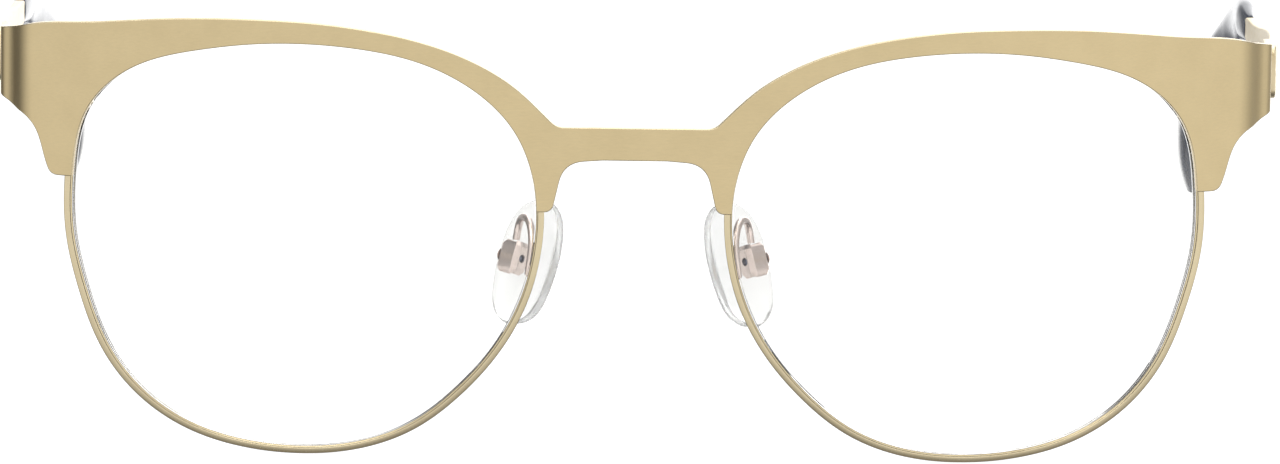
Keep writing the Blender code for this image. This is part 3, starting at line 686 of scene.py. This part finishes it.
def nose_pad(looks, side, word):
    outline = evenly(smooth_through(PAD_OUTLINE, closed=True), 97)[:-1]
    profile = evenly(smooth_through(PAD_PROFILE), 40)
    rings = [[in_pad(b * scale, u * scale, n) for b, u in outline] for scale, n in profile]
    body = f"pad_{word}"
    pad = piece(
        f"silicone_pad_{word}", lofted(rings), side, [looks["silicone"]], body, "clear_silicone",
        [f"nose_pad_{word}"], 50)
    pad.visible_shadow = False
    half, tall = STEM_HALF, STEM_HALF_LENGTH
    stem_outline = [(-half, -tall), (half, -tall), (half, tall), (-half, tall)]
    stem = prism(rounded_polygon(stem_outline, STEM_EDGE, 3), *STEM_SPAN, in_pad)
    insert = piece(
        f"pad_stem_{word}", stem, side, [looks["plastic"]], body, "clear_plastic", [f"pad_insert_{word}"])
    eye = turned([(LUG_RADIUS, -half), (LUG_RADIUS, half)], PAD_SCREW_CENTRE, PAD_BACK)
    changed(insert, [eye], "UNION", side)
    changed(insert, [pad_bore()], "DIFFERENCE", side)


def pad_mount(looks, side, word):
    rear, front = PAD_BOX_SPAN
    half, tall, edge = PAD_BOX_HALF_WIDTH, PAD_BOX_HALF_HEIGHT, PAD_BOX_EDGE
    outline = rounded_polygon([(-half, rear), (half, rear), (half, front), (-half, front)], edge, 2)
    layers = [(-tall, 0.75), (-tall + edge, 1.0), (tall - edge, 1.0), (tall, 0.72)]
    middle = (rear + front) / 2
    block = lofted([[in_pad(b * k, u, middle + (n - middle) * k) for b, n in outline] for u, k in layers])
    rose = [looks["rose"]]
    box = piece(f"pad_block_{word}", block, side, rose, "front", "rose_silver", [f"pad_box_{word}"])
    slot = [(-SLOT_HALF, SLOT_FLOOR), (SLOT_HALF, SLOT_FLOOR), (SLOT_HALF, 0), (-SLOT_HALF, 0)]
    channel = prism(slot, -CUTTER_REACH, CUTTER_REACH, lambda b, n, u: in_pad(b, u, n))
    changed(box, [channel, pad_bore()], "DIFFERENCE", side)
    softened(box, PAD_BOX_BROKEN_EDGE)
    head = -half - SOLDER
    end = half - PAD_SCREW_END
    profile = [
        *[(radius, head - rise) for radius, rise in PAD_SCREW_HEAD],
        (PAD_SCREW_RADIUS, head),
        (PAD_SCREW_RADIUS, end - PAD_SCREW_CHAMFER),
        (PAD_SCREW_RADIUS - PAD_SCREW_CHAMFER, end),
        (PAD_SCREW_HEAD[0][0], end),
    ]
    shank_rows = range(len(PAD_SCREW_HEAD), len(profile) - 1)
    pin = turned(profile, PAD_SCREW_CENTRE, -PAD_BACK, edge_rows=shank_rows)
    rose_and_steel = [looks["rose"], looks["steel"]]
    piece(f"pad_pin_{word}", pin, side, rose_and_steel, "front", "dark_steel", [f"pad_screw_{word}"])

    section = [(ARM_RADIUS * c, ARM_RADIUS * s) for c, s in circle(20)]
    arm = swept(evenly(smooth_through(ARM_PATH), 70), section)
    piece(f"pad_wire_{word}", arm, side, rose, "front", "rose_silver", [f"pad_arm_{word}"], 50)


# ---- Temples ----


def at_hinge(out, back):
    """A point outwards of the hinge and back along the temple's slope."""
    down = Vector((0, math.cos(TEMPLE_DROP), -math.sin(TEMPLE_DROP)))
    return HINGE_CENTRE + Vector((out, 0, 0)) + down * back


def temple_path():
    straight = [tuple(at_hinge(out, back)) for out, back in BAR_PATH]
    return smooth_through([*straight, *TIP_PATH])


def sizes_at(sizes, distance):
    distances, thicknesses, heights = zip(*sizes)
    return np.interp(distance, distances, thicknesses), np.interp(distance, distances, heights)


def temple_swept(path, stations, section_at):
    """Sweeps with the section's first direction kept level and across the temple."""
    rings = []
    points = at_lengths(path, stations)
    for point, direction, station in zip(points, np.gradient(points, axis=0), stations):
        direction = Vector(direction).normalized()
        out = (Vector((1, 0, 0)) - direction * direction.x).normalized()
        up = out.cross(direction)
        rings.append([Vector(point) + out * u + up * v for u, v in section_at(station)])
    return lofted(rings)


def temple(looks, side, word):
    path = temple_path()
    length = lengths_along(path)[-1]

    def bar_section(distance):
        thickness, height = sizes_at(BAR_SIZES, distance)
        u, v = thickness / 2, height / 2
        return rounded_polygon([(-u, -v), (u, -v), (u, v), (-u, v)], BAR_EDGE_ROUND, 5)

    stations = [0, 0.12, 0.25, 0.5, 0.8, 1.3, 1.8, *np.linspace(3, BAR_SHOWN, 60)]
    bar = temple_swept(path, stations, bar_section)
    body = f"temple_{word}"
    # The temple bar takes the lighter gold with its painted highlight.
    piece(f"temple_arm_{word}", bar, side, [looks["bar"]], body, "satin_gold", [f"temple_bar_{word}"])

    tip_length = length - TIP_START

    def tip_section(station):
        distance = station - TIP_START
        thickness, height = sizes_at(TIP_SIZES, distance)
        left = min(tip_length - distance, TIP_ROUNDING) / TIP_ROUNDING
        start = min(distance, TIP_MOUTH) / TIP_MOUTH
        closing = max(math.sqrt(max(1 - (1 - left) ** 2, 0)), 0.08)
        opening = 0.88 + 0.12 * math.sqrt(1 - (1 - start) ** 2)
        scale = closing * opening
        shape = []
        for c, s in circle(36):
            u, v = (math.copysign(abs(value) ** 0.8, value) for value in (c, s))
            shape.append((u * thickness / 2 * scale, v * height / 2 * scale))
        return shape

    mouth = [0, 0.05, 0.12, 0.22, TIP_MOUTH]
    length_of_tip = np.linspace(1, tip_length - TIP_ROUNDING - 0.5, 70)
    rounding = [tip_length - TIP_ROUNDING * math.cos(a) for a in np.linspace(0, math.pi / 2, 14)]
    places = np.array([*mouth, *length_of_tip, *rounding])
    tip = temple_swept(path, TIP_START + places, tip_section)
    piece(f"ear_tip_{word}", tip, side, [looks["acetate"]], body, "dark_acetate", [f"temple_tip_{word}"], 50)


# ---- Small CAD pieces that keep their shape ----


def dress_small_pieces(looks):
    for side_word in ("left", "right"):
        for node, look in (
            ("closing_block_upper", "wire"), ("closing_block_lower", "wire"), ("rim_screw", "steel"),
            # The hinge leaves take the lighter gold with its painted highlight.
            ("front_hinge", "bar"), ("hinge_screw", "steel"), ("temple_hinge", "bar"),
        ):
            mesh = frame["nodes"][f"{node}_{side_word}"].data
            mesh.materials.clear()
            mesh.materials.append(looks[look])


# ---- Stage ----


def area_light(name, centre, target, size, power):
    light = bpy.data.lights.new(name, "AREA")
    light.shape = "RECTANGLE"
    light.size, light.size_y = size
    light.energy = power
    made = bpy.data.objects.new(name, light)
    bpy.context.scene.collection.objects.link(made)
    made.location = centre
    made.rotation_euler = (Vector(target) - Vector(centre)).to_track_quat("-Z", "Y").to_euler()


def math_node(tree, operation, first, second):
    node = tree.nodes.new("ShaderNodeMath")
    node.operation = operation
    for socket, value in zip(node.inputs, (first, second)):
        if isinstance(value, bpy.types.NodeSocket):
            tree.links.new(value, socket)
        else:
            socket.default_value = value
    return node.outputs["Value"]


# Brightness of the studio by direction: degrees round from the front towards +X, and height from -1 to 1.
AROUND = [
    (-180, 1.9), (-168, 1.7), (-160, 0.2), (-153, 0.25), (-147, 0.9), (-139, 0.5), (-130, 0.16), (-106, 0.16),
    (-80, 0.5), (-52, 0.97), (0, 1.0), (32, 1.1), (50, 1.0), (74, 0.78), (100, 0.52), (140, 0.48), (150, 0.6),
    (156, 2.4), (170, 2.4), (180, 1.9),
]
UPWARDS = [(-1, 0.2), (-0.62, 0.3), (-0.38, 1.0), (0.6, 1.0), (1, 1.2)]
BRIGHTEST = 2.4


def studio_world():
    """Even white for the eye, with darker walls at the sides and below for the metal to reflect."""
    world = bpy.data.worlds.new("studio")
    world.use_nodes = True
    tree = world.node_tree
    direction = tree.nodes.new("ShaderNodeTexCoord").outputs["Generated"]
    split = tree.nodes.new("ShaderNodeSeparateXYZ")
    tree.links.new(direction, split.inputs["Vector"])
    x, y, z = split.outputs
    turn = math_node(tree, "ARCTAN2", x, math_node(tree, "MULTIPLY", y, -1.0))
    around = spread(tree, turn, 0.0, 1.0, -math.pi, math.pi)
    height = spread(tree, z, 0.0, 1.0, -1.0, 1.0)
    sides = ramp(tree, around, [((a + 180) / 360, (v / BRIGHTEST,) * 3) for a, v in AROUND])
    levels = ramp(tree, height, [((h + 1) / 2, (v / BRIGHTEST,) * 3) for h, v in UPWARDS])
    reflected = mixed(tree, 1.0, sides, levels, "MULTIPLY")
    seen = tree.nodes.new("ShaderNodeLightPath").outputs["Is Camera Ray"]
    color = mixed(tree, seen, reflected, (1 / BRIGHTEST**2,) * 3 + (1,))
    background = tree.nodes["Background"]
    tree.links.new(color, background.inputs["Color"])
    background.inputs["Strength"].default_value = BRIGHTEST**2
    return world


def stage():
    bm = bmesh.new()
    bmesh.ops.create_grid(bm, x_segments=1, y_segments=1, size=7)
    mesh = bpy.data.meshes.new("floor")
    bm.to_mesh(mesh)
    bm.free()
    white, _, shader = new_material("floor_white", (0.15, 0.15, 0.15), 0.0, 0.8)
    shader.inputs["Emission Color"].default_value = (1, 1, 1, 1)
    shader.inputs["Emission Strength"].default_value = 1.0
    mesh.materials.append(white)
    floor = bpy.data.objects.new("floor", mesh)
    bpy.context.scene.collection.objects.link(floor)
    floor.visible_glossy = False
    area_light("key", (-0.6, -1.2, 1.3), (0, 0, 0.03), (1.4, 1.0), 8)
    area_light("top", (0.2, 0.3, 1.6), (0, 0, 0), (1.6, 1.6), 8)
    bpy.context.scene.world = studio_world()
    bpy.context.scene.view_settings.view_transform = "Standard"


CAMERA_TARGET = (0.66, 0.0, 26.62)  # y counted from the front face
CAMERA_ELEVATION = math.radians(12.9)
CAMERA_TO_THE_LEFT = math.radians(0.2)
CAMERA_ROLL = math.radians(0.85)
CAMERA_DISTANCE = 1.2 / math.cos(CAMERA_ELEVATION)
VIEW_WIDTH = 0.13963


def camera():
    data = bpy.data.cameras.new("camera")
    data.sensor_width = 36
    data.lens = data.sensor_width * CAMERA_DISTANCE / VIEW_WIDTH
    data.clip_start = 0.05
    data.clip_end = 60
    made = bpy.data.objects.new("camera", data)
    bpy.context.scene.collection.objects.link(made)
    away = Vector((
        -math.sin(CAMERA_TO_THE_LEFT) * math.cos(CAMERA_ELEVATION),
        -math.cos(CAMERA_TO_THE_LEFT) * math.cos(CAMERA_ELEVATION),
        math.sin(CAMERA_ELEVATION),
    ))
    x, y, z = CAMERA_TARGET
    target = Vector((x, y + FRONT_Y, z)) * MM
    made.location = target + away * CAMERA_DISTANCE
    made.rotation_mode = "QUATERNION"
    made.rotation_quaternion = (-away).to_track_quat("-Z", "Y") @ Quaternion((0, 0, 1), CAMERA_ROLL)
    bpy.context.scene.camera = made


# ---- Assembly ----

looks = make_looks()
brow_plate(looks)
for side, word in ((1, "left"), (-1, "right")):
    eyewire(looks, side, word)
    lens(looks, side, word)
    nose_pad(looks, side, word)
    pad_mount(looks, side, word)
    temple(looks, side, word)
dress_small_pieces(looks)
stage()
camera()
